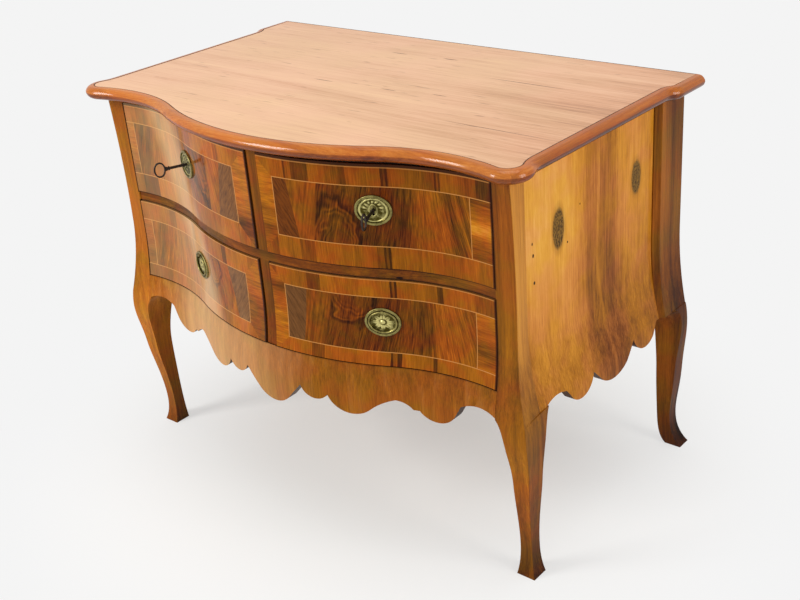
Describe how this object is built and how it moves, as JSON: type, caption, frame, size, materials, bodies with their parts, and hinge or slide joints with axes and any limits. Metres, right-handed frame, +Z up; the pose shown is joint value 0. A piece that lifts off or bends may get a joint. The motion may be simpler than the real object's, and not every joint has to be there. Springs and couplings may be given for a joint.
{
  "type": "bombe chest",
  "caption": "Serpentine-fronted bombe chest with upper and lower drawer pairs, scalloped apron, cabriole legs, moulded top, keys in oval plates and ring pulls.",
  "frame": {"origin": "on the floor under the centre of the bounding box", "axes": "+Z up, front (drawers) towards -Y, +X to the right seen from the front"},
  "size_m": [1.102, 0.712, 0.82],
  "materials": {
    "walnut": "satin",
    "veneered_front": "gloss",
    "top_veneer": "gloss",
    "side_veneer": "satin",
    "drawer_lining": "matte",
    "pine": "matte",
    "brass": "satin",
    "iron": "satin"
  },
  "bodies": {
    "case": {"top_board": "top_veneer", "top_moulding_front": "walnut", "top_moulding_left": "walnut", "top_moulding_right": "walnut", "leg_front_left": "walnut", "leg_front_right": "walnut", "leg_rear_left": "walnut", "leg_rear_right": "walnut", "side_panel_left": "side_veneer", "side_panel_right": "side_veneer", "back_panel": "pine", "back_rail": "pine", "bottom_board": "pine", "front_top_rail": "walnut", "front_mid_rail": "walnut", "front_apron": "walnut", "centre_stile_upper": "walnut", "centre_stile_lower": "walnut", "centre_partition": "pine", "centre_runners": "pine", "runner_upper_left": "pine", "runner_upper_right": "pine", "guide_lower_left": "pine", "guide_lower_right": "pine"},
    "drawer_upper_left": {"drawer_upper_front_left": "veneered_front", "drawer_upper_bottom_left": "drawer_lining", "drawer_upper_side_inner_left": "drawer_lining", "drawer_upper_side_outer_left": "drawer_lining", "drawer_upper_back_left": "drawer_lining", "escutcheon_left": "brass", "lock_case_left": "iron"},
    "drawer_lower_left": {"drawer_lower_front_left": "veneered_front", "drawer_lower_bottom_left": "drawer_lining", "drawer_lower_side_inner_left": "drawer_lining", "drawer_lower_side_outer_left": "drawer_lining", "drawer_lower_back_left": "drawer_lining", "rosette_plate_left": "brass", "ring_post_left": "brass"},
    "key_left": {"key_left": "iron"},
    "lock_bolt_left": {"lock_bolt_left": "brass"},
    "ring_pull_left": {"ring_pull_left": "brass"},
    "drawer_upper_right": {"drawer_upper_front_right": "veneered_front", "drawer_upper_bottom_right": "drawer_lining", "drawer_upper_side_inner_right": "drawer_lining", "drawer_upper_side_outer_right": "drawer_lining", "drawer_upper_back_right": "drawer_lining", "escutcheon_right": "brass", "lock_case_right": "iron"},
    "drawer_lower_right": {"drawer_lower_front_right": "veneered_front", "drawer_lower_bottom_right": "drawer_lining", "drawer_lower_side_inner_right": "drawer_lining", "drawer_lower_side_outer_right": "drawer_lining", "drawer_lower_back_right": "drawer_lining", "rosette_plate_right": "brass", "ring_post_right": "brass"},
    "key_right": {"key_right": "iron"},
    "lock_bolt_right": {"lock_bolt_right": "brass"},
    "ring_pull_right": {"ring_pull_right": "brass"}
  },
  "joints": [
    {"name": "drawer_upper_left_slide", "type": "slide", "parent": "case", "child": "drawer_upper_left", "axis": [0, -1, 0], "range_m": [0, 0.42]},
    {"name": "drawer_lower_left_slide", "type": "slide", "parent": "case", "child": "drawer_lower_left", "axis": [0, -1, 0], "range_m": [0, 0.42]},
    {"name": "key_left_turn", "type": "hinge", "parent": "drawer_upper_left", "child": "key_left", "pos_m": [-0.241, -0.26985, 0.7], "axis": [-0.401, -0.9161, 0], "range_deg": [0, 360]},
    {"name": "lock_bolt_left_slide", "type": "slide", "parent": "drawer_upper_left", "child": "lock_bolt_left", "axis": [0, 0, 1], "range_m": [0, 0.008]},
    {"name": "ring_pull_left_lift", "type": "hinge", "parent": "drawer_lower_left", "child": "ring_pull_left", "pos_m": [-0.2423, -0.27224, 0.50408], "axis": [-0.9161, 0.401, 0], "range_deg": [0, 130]},
    {"name": "drawer_upper_right_slide", "type": "slide", "parent": "case", "child": "drawer_upper_right", "axis": [0, -1, 0], "range_m": [0, 0.42]},
    {"name": "drawer_lower_right_slide", "type": "slide", "parent": "case", "child": "drawer_lower_right", "axis": [0, -1, 0], "range_m": [0, 0.42]},
    {"name": "key_right_turn", "type": "hinge", "parent": "drawer_upper_right", "child": "key_right", "pos_m": [0.241, -0.26985, 0.7], "axis": [0.401, -0.9161, 0], "range_deg": [0, 360]},
    {"name": "lock_bolt_right_slide", "type": "slide", "parent": "drawer_upper_right", "child": "lock_bolt_right", "axis": [0, 0, 1], "range_m": [0, 0.008]},
    {"name": "ring_pull_right_lift", "type": "hinge", "parent": "drawer_lower_right", "child": "ring_pull_right", "pos_m": [0.2423, -0.27224, 0.50408], "axis": [-0.9161, -0.401, 0], "range_deg": [0, 130]}
  ],
  "couplings": [
    {"joint": "key_left_turn", "follows": "lock_bolt_left_slide", "rad_per_m": 785.39},
    {"joint": "key_right_turn", "follows": "lock_bolt_right_slide", "rad_per_m": 785.39}
  ]
}
